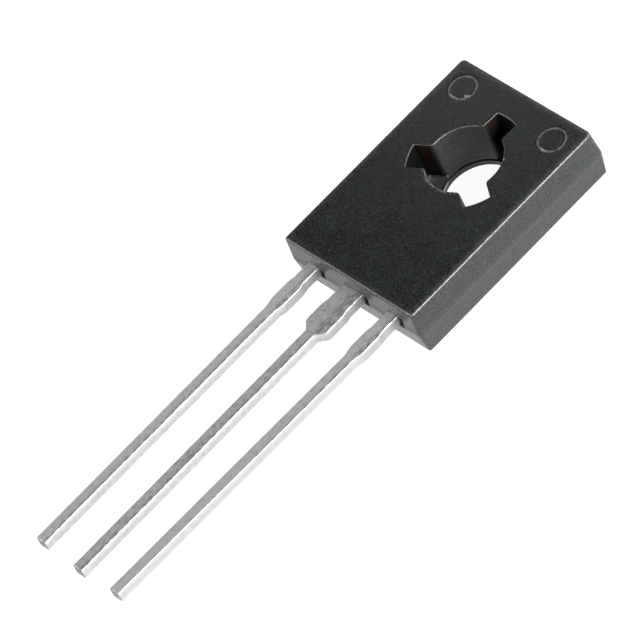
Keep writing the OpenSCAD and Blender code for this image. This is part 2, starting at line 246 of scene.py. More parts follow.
def body_angles():
    """Angles of the body's rays from the hole's axis, closer where the
    outline turns: keyway corners, body corners, lead pockets, pin marks."""
    half, mouth, hole = KEYWAY_HALF_WIDTH, KEYWAY_MOUTH_RADIUS, KEYED_HOLE_RADIUS
    end = math.asin(half / KEYWAY_REACH)
    centre_x = math.sqrt((hole + mouth) ** 2 - (half + mouth) ** 2)
    mouth_start = math.atan2(half, centre_x)
    mouth_end = math.atan2(half + mouth, centre_x)
    side_reaches = np.linspace(KEYWAY_REACH + 0.08, math.hypot(half, centre_x), 14)
    one_side = np.concatenate([
        np.linspace(0.01, end - 0.02, 5),
        np.arcsin(half / side_reaches),
        np.linspace(mouth_start, mouth_end, 7)[1:],
    ])
    parts = [np.radians(np.arange(0, 360, 1.0))]
    for axis in np.radians(KEYWAY_ANGLES):
        parts += [axis + one_side, axis - one_side]
    for x, y in PIN_MARKS:
        middle = math.atan2(y, x)
        parts.append(middle + np.radians(np.arange(-11.5, 11.6, 0.5)))
    for sx, sy in CORNER_WEAR:
        corner = math.atan2(MIDDLE_Y + sy * HALF_Y, sx * HALF_X)
        parts.append(corner + np.radians(np.arange(-2.6, 2.61, 0.2)))
    edges = []
    for x, neck in NECKS:
        for edge in (x - neck / 2 - POCKET_LEFT_GAP, x + neck / 2 + POCKET_RIGHT_GAP):
            edges += [edge - 0.008, edge + 0.008]
    parts.append(np.arctan2(BODY_BOTTOM, np.array(edges)))
    angles = np.sort(np.concatenate(parts) % (2 * math.pi))
    keep = np.concatenate([[True], np.diff(angles) > 0.0006])
    return angles[keep]


def body_surface():
    """The moulded body as one closed ring of rings round its hole, and a
    number per point that says how strong the painted edge highlight is there.

    Every ring is an outline seen from the hole's axis. The rings climb the
    hole's tapered wall, cross the front face as straight blends from the
    hole's outline to the body's, round the front edge, go down the drafted
    walls as rectangles with round corners, cross the back face to the tab
    and go up behind it. A corner's radius changes evenly from the front,
    where each corner is worn in its own way, to the parting line. Pin marks
    are ring-shaped grooves in the front face, and pockets are pushed into
    the lead end. The painted highlight is highest in the middle of each
    rounded front edge, fades over the strip inside it, and has a share for
    each side and for the hole's rim, largest on the right.
    """
    angles = body_angles()
    rays = np.column_stack([np.cos(angles), np.sin(angles)])
    hole = keyed_hole_reach(angles)
    uneven = np.zeros(len(angles))
    for (sx, sy), amount in CORNER_WEAR.items():
        uneven[(np.sign(rays[:, 0]) == sx) & (np.sign(rays[:, 1]) == sy)] = amount
    half_tab = TAB_WIDTH / 2

    def hole_ring(spread, height):
        """The keyed hole at a height: its reach at the front, less the taper."""
        taper = (BODY_THICKNESS - height) * math.tan(math.radians(HOLE_DRAFT))
        return level_ring((hole + spread - taper)[:, None] * rays, height)

    def outer_outline(height, rounding=0):
        """Half sizes lose the draft and the rounding; so does the radius."""
        if height >= LEAD_HEIGHT:
            inset_x = inset_y = (height - LEAD_HEIGHT) * math.tan(math.radians(FRONT_DRAFT))
            amount = uneven * (height - LEAD_HEIGHT) / (BODY_THICKNESS - LEAD_HEIGHT)
        else:
            drop = LEAD_HEIGHT - height
            inset_x = drop * math.tan(math.radians(SIDE_BACK_DRAFT))
            inset_y = drop * math.tan(math.radians(END_BACK_DRAFT))
            amount = 0
        radius = CORNER_RADIUS + FRONT_RUN + amount - (inset_x + inset_y) / 2 - rounding
        half_x, half_y = HALF_X - inset_x - rounding, HALF_Y - inset_y - rounding
        return ray_to_rounded_rectangle(
            angles, -half_x, MIDDLE_Y - half_y, half_x, MIDDLE_Y + half_y,
            np.maximum(radius, 0.02) * np.ones(len(angles)))

    def window(spread, height):
        """The opening for the tab at a height, wider by the spread."""
        return level_ring(
            ray_to_rounded_rectangle(
                angles, -half_tab - spread, TAB_BOTTOM - spread, half_tab + spread,
                TAB_TOP + spread, TAB_CORNER + spread),
            height)

    rings, highlight_rings = [], []
    hole_edge, front_edge, back_edge = 0.04, 0.07, 0.05
    top = BODY_THICKNESS
    for height in np.linspace(STRIP_THICKNESS, top - hole_edge - 0.02, 9):
        rings.append(hole_ring(0, height))
    for c, s in zip(*quarter_turn(5)):
        highlight_rings.append((len(rings), math.sin(2 * math.asin(s))))
        rings.append(hole_ring(hole_edge * (1 - c), top - hole_edge * (1 - s)))
    inner = hole_ring(hole_edge, top)
    outer = level_ring(outer_outline(top, front_edge + HIGHLIGHT_STRIP_WIDTH), top)
    blends = np.concatenate([
        [0.008, 0.05, 0.12, 0.2, 0.28],
        np.arange(0.34, 0.9, 0.0115),
        [0.93, 0.97, 1],
    ])
    for t in blends:
        face = inner * (1 - t) + outer * t
        for x, y in PIN_MARKS:
            away = np.abs(np.hypot(face[:, 0] - x, face[:, 1] - y) - PIN_MARK_RADIUS)
            face[:, 2] -= PIN_MARK_DEPTH * (1 - smooth_step(away, 0, PIN_MARK_RING * 0.8))
        rings.append(face)
    for share in (0.75, 0.5, 0.3, 0.12):
        highlight_rings.append((len(rings), EDGE_HIGHLIGHT_SPREAD * (1 - share) ** 2))
        rings.append(level_ring(outer_outline(top, front_edge + HIGHLIGHT_STRIP_WIDTH * share), top))
    cosines, sines = quarter_turn(6)
    for c, s in zip(cosines[::-1], sines[::-1]):
        highlight_rings.append((len(rings), max(math.sin(2 * math.asin(s)), EDGE_HIGHLIGHT_SPREAD * s)))
        rings.append(level_ring(outer_outline(top, front_edge * (1 - c)),
                                top - front_edge * (1 - s)))
    pocket_top = COATED_FRONT + POCKET_FRONT_GAP
    wall_heights = (
        2.32, 2.2, 2.05, 1.9, 1.78, pocket_top + 0.008, pocket_top - 0.008, 1.6, 1.45,
        1.3, LEAD_HEIGHT + 0.03, LEAD_HEIGHT, LEAD_HEIGHT - 0.02, COATED_BACK + 0.006,
        COATED_BACK - 0.008, 1.05, 0.9, 0.7, 0.5, 0.3, 0.15, back_edge + 0.02)
    for height in wall_heights:
        rings.append(level_ring(outer_outline(height), height))
    for c, s in zip(*quarter_turn(5)):
        rings.append(level_ring(outer_outline(0, back_edge * (1 - c)), back_edge * (1 - s)))
    outer = rings[-1]
    inner = window(0.03, 0)
    for t in (0.02, 0.15, 0.35, 0.6, 0.85, 0.98, 1):
        rings.append(outer * (1 - t) + inner * t)
    lip_back = STRIP_THICKNESS - LIP_THICKNESS
    rings += [window(0.01, 0.02), window(0.0, 0.06), window(0.0, lip_back - 0.01),
              window(0.01, lip_back), window(LIP_REACH, lip_back),
              window(LIP_REACH, STRIP_THICKNESS)]
    far, near = window(LIP_REACH, STRIP_THICKNESS), hole_ring(0, STRIP_THICKNESS)
    for t in (0.3, 0.6, 0.9):
        rings.append(far * (1 - t) + near * t)
    points = np.array(rings)

    x, y, z = points[..., 0], points[..., 1], points[..., 2]
    on_end = y < BODY_BOTTOM + 0.22
    in_height = (z < pocket_top) & (z > COATED_BACK)
    for centre, neck in NECKS:
        inside = (on_end & in_height & (x > centre - neck / 2 - POCKET_LEFT_GAP)
                  & (x < centre + neck / 2 + POCKET_RIGHT_GAP))
        y[inside] = POCKET_FLOOR
    right = x > HALF_X - FRONT_RUN - front_edge - HIGHLIGHT_STRIP_WIDTH
    left = x < FRONT_RUN + front_edge + HIGHLIGHT_STRIP_WIDTH - HALF_X
    upper = y > MIDDLE_Y + HALF_Y - FRONT_RUN - front_edge - HIGHLIGHT_STRIP_WIDTH
    side_highlight = np.select([right, upper, left], SIDE_HIGHLIGHT[:3], SIDE_HIGHLIGHT[3])
    # A number per point for the painted edge highlight: set ring by ring, then shared out
    # by side and on the hole's rim.
    edges = np.zeros(points.shape[:2])
    for ring, amount in highlight_rings:
        edges[ring] = amount
    on_rim = edges * (np.hypot(x, y) < KEYWAY_REACH + 0.2)
    edges = np.where(on_rim > 0, RIM_HIGHLIGHT * on_rim, edges * side_highlight)
    return points[:, ::-1], edges[:, ::-1]


body_points, body_highlight = body_surface()
body = tube_mesh("epoxy_body", body_points, closed=True, edges=body_highlight)


# ---------- collector tab ----------


def tab_surface():
    """The stamped tab as one closed ring of rings round its screw hole.

    Outlines as in the body: a straight hole wall, a rim rolled over on a
    quarter circle, the seat pressed in by the core, its keyed wall, the
    front face, the locking lip, and a bare back.
    """
    corners = []
    half = TAB_WIDTH / 2
    turns = np.radians(np.linspace(0, 90, 9))
    for sx, cy in ((1, TAB_TOP - TAB_CORNER), (-1, TAB_TOP - TAB_CORNER),
                   (-1, TAB_BOTTOM + TAB_CORNER), (1, TAB_BOTTOM + TAB_CORNER)):
        corners.append(np.arctan2(cy + np.sign(cy) * TAB_CORNER * np.sin(turns),
                                  sx * (half - TAB_CORNER + TAB_CORNER * np.cos(turns))))
    angles = np.concatenate([body_angles(), *corners]) % (2 * math.pi)
    angles = np.unique(np.round(angles, 4))
    rays = np.column_stack([np.cos(angles), np.sin(angles)])
    seat_taper = (BODY_THICKNESS - SEAT_HEIGHT) * math.tan(math.radians(HOLE_DRAFT))
    keyed = (keyed_hole_reach(angles) - seat_taper)[:, None] * rays
    fit = 0.006

    def round_ring(radius, height):
        """A circle round the hole's axis."""
        return level_ring(radius * rays, height)

    def plate(spread, height):
        """The tab's own outline at a height, wider by the spread."""
        return level_ring(
            ray_to_rounded_rectangle(
                angles, -half - spread, TAB_BOTTOM - spread, half + spread,
                TAB_TOP + spread, TAB_CORNER + spread),
            height)

    rings = []
    burr = 0.03
    for c, s in zip(*quarter_turn(4)):
        rings.append(round_ring(SCREW_HOLE_RADIUS + burr * (1 - s), burr * (1 - c)))
    wall_top = SEAT_HEIGHT - HOLE_ROLL
    for height in np.linspace(burr + 0.02, wall_top - 0.02, 6):
        rings.append(round_ring(SCREW_HOLE_RADIUS, height))
    for c, s in zip(*quarter_turn(9)):
        rings.append(round_ring(SCREW_HOLE_RADIUS + HOLE_ROLL * (1 - c),
                                wall_top + HOLE_ROLL * s))
    front = STRIP_THICKNESS - fit / 2
    inner, outer = rings[-1], level_ring(keyed, SEAT_HEIGHT)
    for t in (0.1, 0.5, 0.9, 1):
        rings.append(inner * (1 - t) + outer * t)
    for height in (SEAT_HEIGHT + 0.02, (SEAT_HEIGHT + front) / 2, front - 0.01, front):
        rings.append(level_ring(keyed + fit / 2 * rays, height))
    inner, outer = rings[-1], plate(LIP_REACH - fit, front)
    for t in (0.02, 0.2, 0.5, 0.8, 1):
        rings.append(inner * (1 - t) + outer * t)
    lip_back = STRIP_THICKNESS - LIP_THICKNESS + fit
    rings += [plate(LIP_REACH - fit, lip_back), plate(-fit, lip_back), plate(-fit, 0.05)]
    for c, s in zip(*quarter_turn(4)):
        rings.append(plate(-fit - burr * (1 - c), burr * (1 - s)))
    outer = rings[-1]
    inner = round_ring(SCREW_HOLE_RADIUS + burr, 0)
    for t in (0.02, 0.2, 0.4, 0.6, 0.8, 0.97):
        rings.append(outer * (1 - t) + inner * t)
    return np.array(rings)[:, ::-1]


tab = tube_mesh("collector_tab", tab_surface(), closed=True)

# ---------- leads ----------


def bar_rings(stations, corner=0.05, across=6, down=5, steps=4):
    """Rings of a bar whose section is a rectangle with round corners.

    Each station gives y, left x, right x, back z and front z, and a share
    from 0 to 1 of the corner radius. A ring is four quarter circles with
    evenly spaced points along the sides between them.
    """
    y, left, right, back, front, share = np.asarray(stations, float).T
    radius = np.minimum(corner * share, 0.45 * np.minimum(right - left, front - back))
    c, s = quarter_turn(steps)
    ring_x, ring_z = [], []

    def arc(cx, cz, along, up):
        """A quarter circle: the centre plus the radius times each pair."""
        for a, b in zip(along, up):
            ring_x.append(cx + radius * a)
            ring_z.append(cz + radius * b)

    def side(x0, z0, x1, z1, points):
        """Points spaced evenly between two ends, without the ends."""
        for t in np.arange(1, points + 1) / (points + 1):
            ring_x.append(x0 + (x1 - x0) * t)
            ring_z.append(z0 + (z1 - z0) * t)

    x0, x1 = left + radius, right - radius
    z0, z1 = back + radius, front - radius
    arc(x1, z1, c, s)
    side(x1, front, x0, front, across)
    arc(x0, z1, -s, c)
    side(left, z1, left, z0, down)
    arc(x0, z0, -c, -s)
    side(x0, back, x1, back, across)
    arc(x1, z0, s, -c)
    side(right, z0, right, z1, down)
    x, z = np.array(ring_x).T, np.array(ring_z).T
    return np.stack([x, np.broadcast_to(y[:, None], x.shape), z], axis=-1)


def swell(rings, height, size, seed, keep_in):
    """Moves each point of a bar along its own outward direction by lumps that
    are drawn out along Y, times the share of its ring in keep_in."""
    middle = rings.mean(axis=1, keepdims=True)
    out = rings - middle
    out[..., 1] = 0
    out /= np.maximum(np.linalg.norm(out, axis=-1, keepdims=True), 1e-9)
    stretched = rings * np.array([1, 0.45, 1])
    moved = lumps(stretched, size, seed)[..., None] * height * out
    return rings + moved * keep_in[:, None, None]


def coated_stations(centre, neck, extra, lean, spacing=0.07):
    """Stations of a lead outside the body, from its pocket to its tip.

    The half width grows on a ramp to the trimmed tie bar, holds, and eases
    to the lead's width on a cosine. The right lead leans on a straight line
    from there to its tip, and the last stations close in on a quarter circle.
    The tip lies TIP_LOSS short of the solid's.
    """
    tip = LEAD_LENGTH + extra - TIP_LOSS
    shoulder_end = TIE_BAR_END + SHOULDER_LENGTH
    down = np.unique(np.concatenate([
        np.arange(-POCKET_DEPTH, tip - 0.05, spacing),
        [0, TIE_BAR_START, TIE_BAR_START + STUMP_RAMP, TIE_BAR_END, shoulder_end],
        tip - TIP_ROUNDING + TIP_ROUNDING * np.sin(np.radians([0, 30, 60, 90])),
    ]))
    half_neck, half_lead = neck / 2, LEAD_WIDTH / 2
    half_stump = half_neck + TIE_BAR_STUMP
    half = half_neck + TIE_BAR_STUMP * np.clip((down - TIE_BAR_START) / STUMP_RAMP, 0, 1)
    ease = (1 + np.cos(math.pi * np.clip((down - TIE_BAR_END) / SHOULDER_LENGTH, 0, 1))) / 2
    half = np.where(down > TIE_BAR_END, half_lead + (half_stump - half_lead) * ease, half)
    middle = centre - lean * np.clip((down - shoulder_end) / (tip - shoulder_end), 0, 1)
    past = np.maximum(down - tip + TIP_ROUNDING, 0)
    close_in = TIP_ROUNDING - np.sqrt(np.maximum(TIP_ROUNDING**2 - past**2, 0))
    return np.column_stack([
        BODY_BOTTOM - down, middle - half + close_in, middle + half - close_in,
        COATED_BACK + close_in, COATED_FRONT - close_in, np.ones(len(down))])


def lead_surface(stations_inside, centre, neck, extra, lean, seed):
    """A bare stamped end inside the body, then the coated lead outside it.

    Only the coated part swells with the solder, and the swelling fades out
    towards the tip and the pocket so that the lead keeps its length. The
    second result is a number per point that rises to 1 at the cut end.
    """
    coated = coated_stations(centre, neck, extra, lean)
    bare = np.array(stations_inside)
    rings = bar_rings(np.vstack([bare, coated]))
    down = BODY_BOTTOM - rings[:, 0, 1]
    tip = LEAD_LENGTH + extra - TIP_LOSS
    fade = smooth_step(down, -0.1, 0.3) * smooth_step(tip - down, 0.02, 0.3)
    rings = swell(rings, *LONG_LUMPS, seed, fade)
    rings = swell(rings, *SMALL_LUMPS, seed + 1, fade)
    cut = smooth_step(down, tip - 0.025, tip)[:, None] * np.ones(rings.shape[:2])
    return rings, cut


def post_stations(side):
    """Stations of a bare bond post and neck. The post is a rectangle with a
    half-round bite in its outer side."""
    bottom = BODY_BOTTOM + POST_COVER
    bite_y = bottom + POST_LENGTH / 2
    inner = MIDDLE_NECK / 2 + POST_GAP
    half_neck = OUTER_NECK / 2 - COAT
    front = LEAD_HEIGHT + STRIP_THICKNESS
    rows = []
    bite = bite_y + LOCK_BITE * np.sin(np.radians(np.linspace(90, -90, 13)))
    for y in np.concatenate([[bottom + POST_LENGTH], bite, [bottom + 0.002]]):
        cut = math.sqrt(max(LOCK_BITE**2 - (y - bite_y) ** 2, 0))
        far = inner + POST_WIDTH - cut
        left, right = (inner, far) if side > 0 else (-far, -inner)
        rows.append([y, left, right, LEAD_HEIGHT, front, 0.2])
    middle = side * LEAD_PITCH
    for y in (bottom, POCKET_FLOOR + 0.002):
        rows.append([y, middle - half_neck, middle + half_neck, LEAD_HEIGHT, front, 0.2])
    return rows


def strip_stations():
    """Stations of the collector strip, which climbs from the tab's edge to
    the leads' height on one slope of even thickness."""
    half = MIDDLE_NECK / 2 - COAT
    slope = math.atan(LEAD_HEIGHT / STEP_RUN)
    shift = STRIP_THICKNESS * math.tan(slope / 2)
    end = TAB_BOTTOM - STEP_RUN
    upright = STRIP_THICKNESS / math.cos(slope)
    front = LEAD_HEIGHT + STRIP_THICKNESS
    rows = []
    for y in np.linspace(TAB_BOTTOM - 0.001, POCKET_FLOOR + 0.002, 40):
        back = min(max((TAB_BOTTOM - y) / STEP_RUN, 0), 1) * LEAD_HEIGHT
        top = STRIP_THICKNESS if y > TAB_BOTTOM + shift else min(
            (TAB_BOTTOM - y) / STEP_RUN * LEAD_HEIGHT + upright, front)
        rows.append([y, -half, half, back, top, 0.2])
    return rows


leads = []
for name, inside, centre, neck, extra, lean, seed in (
    ("collector_lead", strip_stations(), 0, MIDDLE_NECK, MIDDLE_EXTRA, 0, 11),
    ("emitter_lead_tinned", post_stations(-1), -LEAD_PITCH, OUTER_NECK, 0, 0, 23),
    ("base_lead_tinned", post_stations(1), LEAD_PITCH, OUTER_NECK, RIGHT_EXTRA,
     RIGHT_TIP_SET, 37),
):
    points, cut = lead_surface(inside, centre, neck, extra, lean, seed)
    leads.append(tube_mesh(name, points, edges=cut))
middle_lead, left_lead, right_lead = leads

# ---------- shader groups ----------


def new_group(name, inputs, outputs):
    """An empty node group whose named inputs and outputs are all floats."""
    group = bpy.data.node_groups.new(name, "ShaderNodeTree")
    kind = "NodeSocketFloat"
    for label, default in inputs.items():
        socket = group.interface.new_socket(label, in_out="INPUT", socket_type=kind)
        socket.default_value = default
    for label in outputs:
        group.interface.new_socket(label, in_out="OUTPUT", socket_type=kind)
    given, result = group.nodes.new("NodeGroupInput"), group.nodes.new("NodeGroupOutput")
    return group, Tree(group), given.outputs, result.inputs


class Tree:
    """Short ways to add and link nodes in one tree."""

    def __init__(self, tree):
        self.tree = tree

    def add(self, kind, **settings):
        node = self.tree.nodes.new("ShaderNode" + kind)
        for key, value in settings.items():
            setattr(node, key, value)
        return node

    def link(self, source, target):
        self.tree.links.new(source, target)

    def place(self):
        """The object's own coordinates, in metres."""
        return self.add("TexCoord").outputs["Object"]

    def give(self, socket, value):
        """Links an input to another node's output, or sets it to a number."""
        if isinstance(value, bpy.types.NodeSocket):
            self.link(value, socket)
        else:
            socket.default_value = value

    def feed(self, node, **values):
        """Sets or links input sockets by name, with _ for a space."""
        for key, value in values.items():
            self.give(node.inputs[key.replace("_", " ")], value)
        return node

    def math(self, operation, a, b=0.0):
        node = self.add("Math", operation=operation)
        self.give(node.inputs[0], a)
        self.give(node.inputs[1], b)
        return node.outputs[0]

    def product(self, first, *others):
        """All the given values multiplied together."""
        for other in others:
            first = self.math("MULTIPLY", first, other)
        return first

    def ramp(self, value, low, high, to_low=0.0, to_high=1.0):
        """The value carried from one range to another on a smooth step."""
        node = self.add("MapRange", interpolation_type="SMOOTHSTEP")
        self.feed(node, Value=value, From_Min=low, From_Max=high,
                  To_Min=to_low, To_Max=to_high)
        return node.outputs[0]

    def ramp_mm(self, length, low, high):
        """0 to 1 on a smooth step between two lengths in millimetres."""
        return self.ramp(length, low * MM, high * MM)

    def noise(self, vector, scale, detail=2.0, roughness=0.5):
        node = self.add("TexNoise")
        return self.feed(node, Vector=vector, Scale=scale, Detail=detail,
                         Roughness=roughness).outputs["Fac"]

    def stretch(self, vector, x, y, z):
        node = self.add("Mapping")
        self.feed(node, Vector=vector, Scale=(x, y, z))
        return node.outputs[0]

    def axes(self, place):
        """The x, y and z of a place."""
        split = self.add("SeparateXYZ")
        self.link(place, split.inputs[0])
        return tuple(split.outputs)

    def away(self, x, y, centre=(0, 0)):
        """Distance seen from the front between a place and a centre in
        millimetres: the root of the two offsets' squares added."""
        dx = self.math("SUBTRACT", x, centre[0] * MM)
        dy = self.math("SUBTRACT", y, centre[1] * MM)
        squares = self.math("ADD", self.product(dx, dx), self.product(dy, dy))
        return self.math("SQRT", squares)

    def colour(self, factor, low, high):
        """A mix of two colours, each a node's output or three numbers."""
        node = self.add("Mix", data_type="RGBA")
        self.link(factor, node.inputs[0])
        for socket, value in ((node.inputs[6], low), (node.inputs[7], high)):
            self.give(socket, (*value, 1) if isinstance(value, tuple) else value)
        return node.outputs[2]

    def paint(self, under, mask, share, tone):
        """A colour with a tone laid over it by a share of the mask."""
        return self.colour(self.product(mask, share), under, tone)

    def bump(self, height, distance, strength=1.0, normal=None):
        node = self.add("Bump")
        self.feed(node, Height=height, Distance=distance, Strength=strength)
        if normal is not None:
            self.link(normal, node.inputs["Normal"])
        return node.outputs["Normal"]


def build_speckle():
    """Fine grains over soft clouds. Both are noise on the object's place, the
    clouds twelve times as large; the mask is their even cubic contrast."""
    group, t, given, result = new_group(
        "speckle", {"Scale": 20000.0, "Cloud Share": 0.4}, ("Mask", "Cloud"))
    place = t.place()
    grains = t.noise(place, given["Scale"], 3.0, 0.6)
    clouds = t.noise(place, t.math("DIVIDE", given["Scale"], 12.0), 2.0, 0.5)
    rest = t.product(grains, t.math("SUBTRACT", 1.0, given["Cloud Share"]))
    both = t.math("ADD", t.product(clouds, given["Cloud Share"]), rest)
    t.link(t.ramp(both, 0.38, 0.62), result["Mask"])
    t.link(t.ramp(clouds, 0.3, 0.7), result["Cloud"])
    return group


def build_draw_lines():
    """Fine lines along Y with dull patches, as a die and a solder bath leave
    them: noise stretched along Y, and noise that is not."""
    group, t, given, result = new_group(
        "draw_lines", {"Scale": 9000.0, "Stretch": 0.06}, ("Lines", "Patches"))
    place = t.place()
    spread = t.feed(t.add("CombineXYZ"), X=1.0, Y=given["Stretch"], Z=1.0)
    pulled = t.add("VectorMath", operation="MULTIPLY")
    t.link(place, pulled.inputs[0])
    t.link(spread.outputs[0], pulled.inputs[1])
    lines = t.noise(pulled.outputs[0], given["Scale"], 4.0, 0.6)
    patches = t.noise(place, t.math("DIVIDE", given["Scale"], 5.0), 3.0, 0.6)
    t.link(t.ramp(lines, 0.3, 0.7), result["Lines"])
    t.link(t.ramp(patches, 0.35, 0.65), result["Patches"])
    return group


def build_tin_dullness():
    """How dull tin is: patches, lines and grains multiplied, each lifted from
    zero by its own floor. Roughness follows it, and the lines, evenly."""
    group, t, given, result = new_group(
        "tin_dullness",
        {"Patches": 0.0, "Lines": 0.0, "Grains": 0.0, "Rough Low": 0.3, "Rough High": 0.5},
        ("Dullness", "Roughness"))
    dull = t.product(t.ramp(given["Patches"], 0, 1, 0.35, 1.0),
                     t.ramp(given["Lines"], 0, 1, 0.2, 1.0),
                     t.ramp(given["Grains"], 0, 1, 0.45, 1.0))
    rough = t.math("ADD", t.product(dull, 0.6), t.product(given["Lines"], 0.4))
    rough = t.ramp(rough, 0, 1, given["Rough Low"], given["Rough High"])
    t.link(dull, result["Dullness"])
    t.link(rough, result["Roughness"])
    return group


def build_foot_arc():
    """A mask on the arc of the hole's foot that lies down and to the left,
    where a painted highlight goes. It is the distance from the hole's axis
    along that direction, between a smooth step up and a smooth step down."""
    group, t, given, result = new_group(
        "foot_arc",
        {"Inner Start": 0.0, "Inner Full": 0.0, "Outer Full": 0.0, "Outer End": 0.0},
        ("Mask",))
    x, y, z = t.axes(t.place())
    toward = t.math("ADD", t.product(x, FOOT_TOWARDS[0]), t.product(y, FOOT_TOWARDS[1]))
    inner = t.ramp(toward, given["Inner Start"], given["Inner Full"])
    outer = t.ramp(toward, given["Outer End"], given["Outer Full"])
    t.link(t.product(inner, outer), result["Mask"])
    return group


SPECKLE, DRAW_LINES = build_speckle(), build_draw_lines()
TIN_DULLNESS, FOOT_ARC = build_tin_dullness(), build_foot_arc()

# ---------- materials ----------


def new_material(name):
    """A material, its tree and its main shader."""
    material = bpy.data.materials.new(name)
    material.use_nodes = True
    shader = material.node_tree.nodes["Principled BSDF"]
    return material, Tree(material.node_tree), shader


def placed_group(t, group, **values):
    """A node group with its inputs set, and its outputs to link."""
    node = t.add("Group")
    node.node_tree = group
    return t.feed(node, **values).outputs


def placed_foot_arc(t, inner_start, inner_full, outer_full, outer_end):
    """The foot arc's mask, with its four distances in millimetres."""
    return placed_group(
        t, FOOT_ARC, Inner_Start=inner_start * MM, Inner_Full=inner_full * MM,
        Outer_Full=outer_full * MM, Outer_End=outer_end * MM)["Mask"]


def filler_grain(t, place, grains):
    """Charcoal mottled by paler filler grains, each tone tinted a little by
    a second noise, with sparse pale specks."""
    tint = t.noise(place, EPOXY_GRAIN / 2, 2.0, 0.6)
    dark = t.colour(t.ramp(tint, 0.35, 0.65),
                    (0.0022, 0.0040, 0.0034), (0.0040, 0.0045, 0.0024))
    pale = t.colour(t.ramp(tint, 0.4, 0.7), (0.030, 0.046, 0.036), (0.040, 0.051, 0.044))
    colour = t.colour(t.product(grains, 0.5), dark, pale)
    specks = t.ramp(t.noise(place, EPOXY_GRAIN * 0.7, 1.0, 0.4), 0.71, 0.78)
    return t.paint(colour, specks, 0.7, SPECK_TONE)


def marks_and_highlights(t, place, colour):
    """Pale marks of moulding and handling, and painted highlights, laid over a
    colour: a band at the parting line that is a painted highlight, a ring
    round each pin mark that is partly painted highlight, flakes of chipped
    flash on the hole's lower rim with a painted highlight, single chips, and
    a painted highlight on the rounded edges where the attribute "edge" is high."""
    x, y, z = t.axes(place)
    front = t.ramp_mm(z, FRONT_START, FRONT_FULL)
    from_seam = t.math("ABSOLUTE", t.math("SUBTRACT", z, SEAM_HEIGHT * MM))
    seam_highlight = t.product(t.ramp_mm(from_seam, SEAM_REACH, 0.02),
                     t.ramp_mm(z, BODY_THICKNESS - 0.01, BODY_THICKNESS - 0.08))
    # Painted highlight: a paler band at the parting line, where the wall's slope changes.
    colour = t.paint(colour, seam_highlight, 0.16, SEAM_HIGHLIGHT_TONE)
    patchy = t.ramp(t.noise(place, 4500.0, 3.0, 0.7), 0.35, 0.62, 0.3, 1.0)
    for mark in PIN_MARKS:
        from_ring = t.math("SUBTRACT", t.away(x, y, mark), PIN_MARK_RADIUS * MM)
        ring = t.ramp_mm(t.math("ABSOLUTE", from_ring), 0.065, 0.025)
        # Partly painted highlight: the pale ring along each pin mark's groove.
        colour = t.paint(colour, t.product(ring, front, patchy), 0.75, RING_TONE)
    flakes_and_glint = t.product(t.ramp_mm(t.away(x, y), 1.8, 1.68), t.ramp_mm(y, -1.2, -1.4), front,
                       t.ramp(t.noise(place, 9000.0, 3.0, 0.6), 0.48, 0.56))
    # Chipped flash on the hole's lower rim, with a painted highlight on it.
    colour = t.paint(colour, flakes_and_glint, 0.9, FLAKE_AND_GLINT_TONE)
    for chip_x, chip_y, reach in CHIPS:
        chip = t.ramp_mm(t.away(x, y, (chip_x, chip_y)), reach, reach / 2)
        colour = t.paint(colour, t.product(chip, front), 0.8, CHIP_TONE)
    # Painted highlight on the rounded edges where the attribute "edge" is high, broken up
    # by noise.
    edge = t.add("Attribute", attribute_name="edge").outputs["Fac"]
    uneven = t.ramp(t.noise(place, 6500.0, 4.0, 0.7), 0.3, 0.6, 0.25, 1.0)
    return t.paint(colour, t.product(edge, uneven), EDGE_HIGHLIGHT, EDGE_HIGHLIGHT_TONE)


def recesses(t, place):
    """Masks of the keyed hole's inside, its keyways and the lead pockets,
    each a product of smooth steps along x, y, z or the distance from the
    hole's axis."""
    x, y, z = t.axes(place)
    across = t.away(x, y)
    inside = t.product(
        t.ramp_mm(across, KEYWAY_REACH + 0.08, KEYWAY_REACH + 0.03),
        t.ramp_mm(z, BODY_THICKNESS - 0.02, FRONT_START))
    keyways = t.product(
        inside, t.ramp_mm(across, KEYED_HOLE_RADIUS + 0.05, KEYED_HOLE_RADIUS + 0.27))
    pockets = t.product(
        t.ramp_mm(y, BODY_BOTTOM + 0.06, BODY_BOTTOM + 0.1),
        t.ramp_mm(y, POCKET_FLOOR + 0.1, POCKET_FLOOR + 0.02),
        t.ramp_mm(t.math("ABSOLUTE", x), 3.35, 3.25),
        t.ramp_mm(z, 1.75, 1.7),
        t.ramp_mm(z, 1.05, 1.1))
    return inside, keyways, pockets


